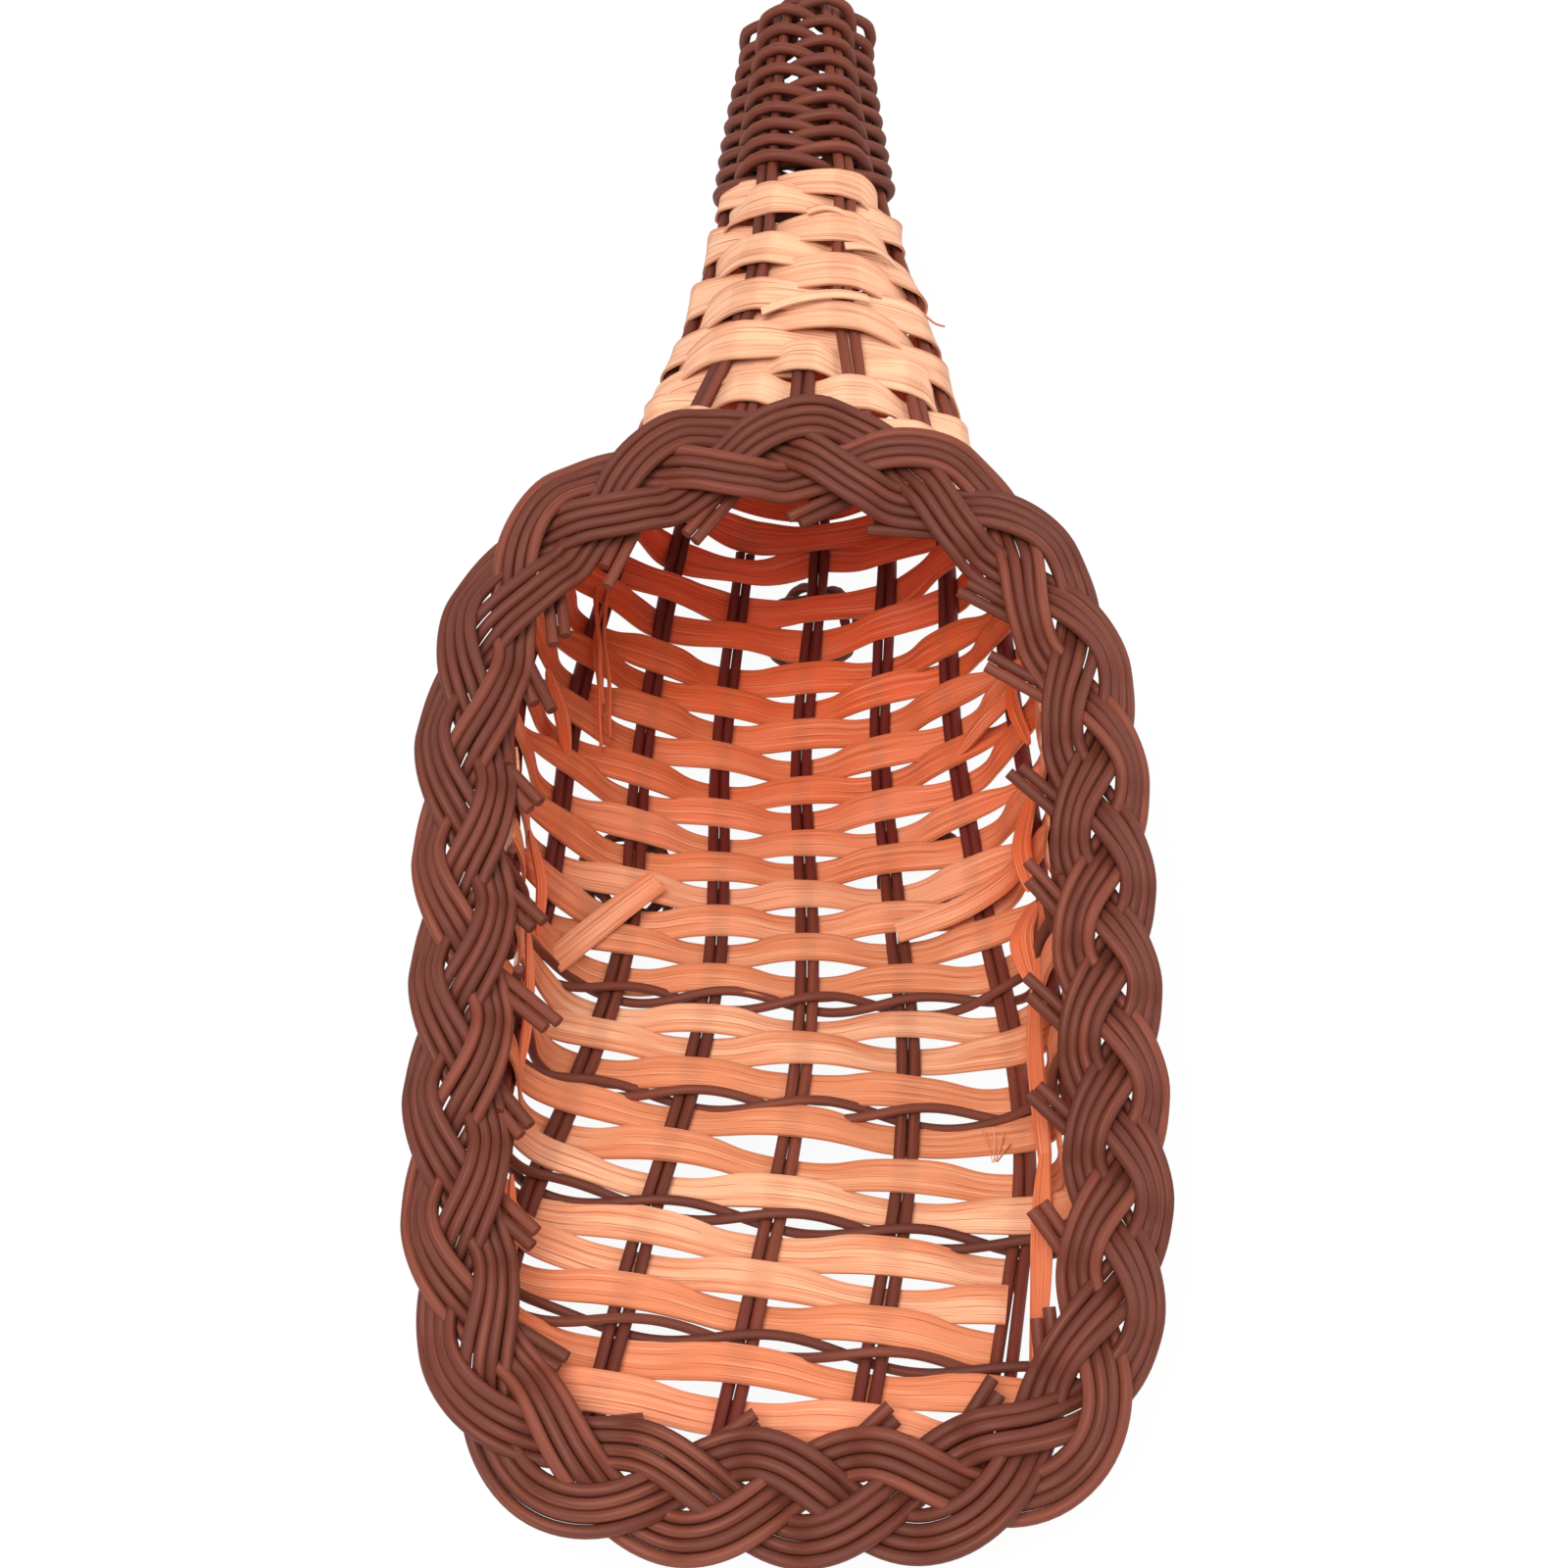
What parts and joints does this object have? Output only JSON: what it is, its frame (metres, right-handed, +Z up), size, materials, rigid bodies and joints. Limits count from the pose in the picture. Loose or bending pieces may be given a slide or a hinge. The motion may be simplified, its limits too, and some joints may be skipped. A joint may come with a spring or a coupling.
{
  "type": "cornucopia basket",
  "caption": "Horn-shaped woven basket with a slanted open mouth, cord stakes, flat wood-chip weaving, a plaited border, a cord-wound tail and small ring feet; holds fruit or flowers.",
  "frame": {"origin": "Middle of the bounding box in plan, on the surface that the ring feet stand on", "axes": "+X to the right seen from the mouth, +Y from the mouth to the tail, +Z up"},
  "size_m": [0.1304, 0.3242, 0.0909],
  "materials": {
    "cord": "satin brown stain",
    "chip": "matte bare chip"
  },
  "bodies": {
    "root": {"stake_left_7": "cord", "stake_left_6": "cord", "stake_left_5": "cord", "stake_left_4": "cord", "stake_left_3": "cord", "stake_left_2": "cord", "stake_left_1": "cord", "stake_middle": "cord", "stake_right_1": "cord", "stake_right_2": "cord", "stake_right_3": "cord", "stake_right_4": "cord", "stake_right_5": "cord", "stake_right_6": "cord", "stake_right_7": "cord", "pairing_1_cord_a": "cord", "pairing_1_cord_b": "cord", "pairing_2_cord_a": "cord", "pairing_2_cord_b": "cord", "pairing_3_cord_a": "cord", "pairing_3_cord_b": "cord", "pairing_4_cord_a": "cord", "pairing_4_cord_b": "cord", "front_strip_1": "chip", "front_strip_2": "chip", "front_strip_3": "chip", "front_strip_4": "chip", "front_strip_5": "chip", "front_strip_6": "chip", "front_strip_7": "chip", "front_strip_8": "chip", "front_strip_9": "chip", "front_strip_10": "chip", "front_strip_11": "chip", "belly_strip_1": "chip", "belly_strip_2": "chip", "belly_strip_3": "chip", "belly_strip_4": "chip", "belly_strip_5": "chip", "belly_strip_6": "chip", "neck_strip_1": "chip", "neck_strip_2": "chip", "neck_strip_3": "chip", "neck_strip_4": "chip", "tail_strip_1": "chip", "tail_strip_2": "chip", "tail_strip_3": "chip", "tail_strip_4": "chip", "tail_winding_1": "cord", "tail_winding_2": "cord", "tail_winding_3": "cord", "tail_winding_4": "cord", "border_strand_1": "cord", "border_strand_2": "cord", "border_strand_3": "cord", "ring_foot_right": "cord", "ring_foot_left": "cord", "ring_foot_rear": "cord"}
  },
  "joints": []
}
